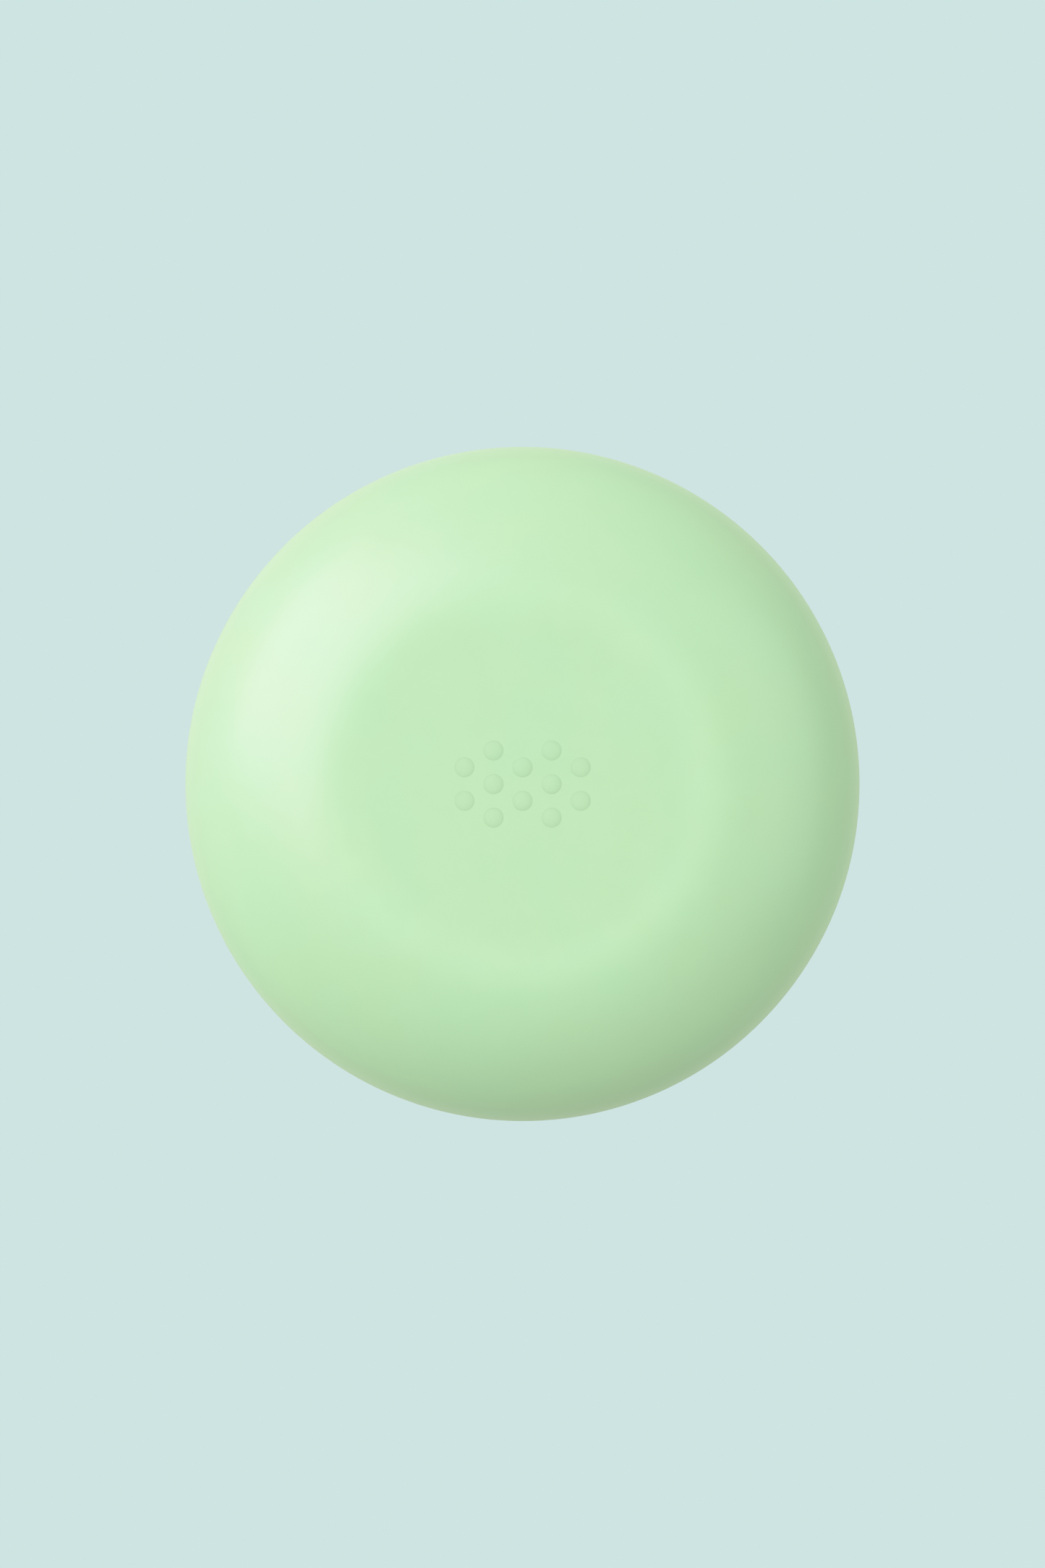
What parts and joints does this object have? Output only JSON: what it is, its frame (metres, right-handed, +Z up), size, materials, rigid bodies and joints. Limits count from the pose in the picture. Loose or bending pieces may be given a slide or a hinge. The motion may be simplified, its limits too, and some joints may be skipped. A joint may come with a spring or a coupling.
{
  "type": "shaving soap puck",
  "caption": "Round pressed puck of hard shaving soap with a barely dished top, deep round shoulders, twelve small raised beads in the middle and a flat ring underneath to rest on.",
  "frame": {"origin": "middle of the flat underside, on the plane the puck rests on", "axes": "+Z up along the puck's axis of revolution, towards the beaded top; the five columns of beads stand side by side along X, and each runs along Y"},
  "size_m": [0.075, 0.075, 0.0266],
  "materials": {
    "soap": "satin pale green soap, waxy and slightly translucent",
    "soap_bead": "the same satin soap, a shade deeper"
  },
  "bodies": {
    "root": {"soap_cake": "soap", "bead_01": "soap_bead", "bead_02": "soap_bead", "bead_03": "soap_bead", "bead_04": "soap_bead", "bead_05": "soap_bead", "bead_06": "soap_bead", "bead_07": "soap_bead", "bead_08": "soap_bead", "bead_09": "soap_bead", "bead_10": "soap_bead", "bead_11": "soap_bead", "bead_12": "soap_bead"}
  },
  "joints": []
}
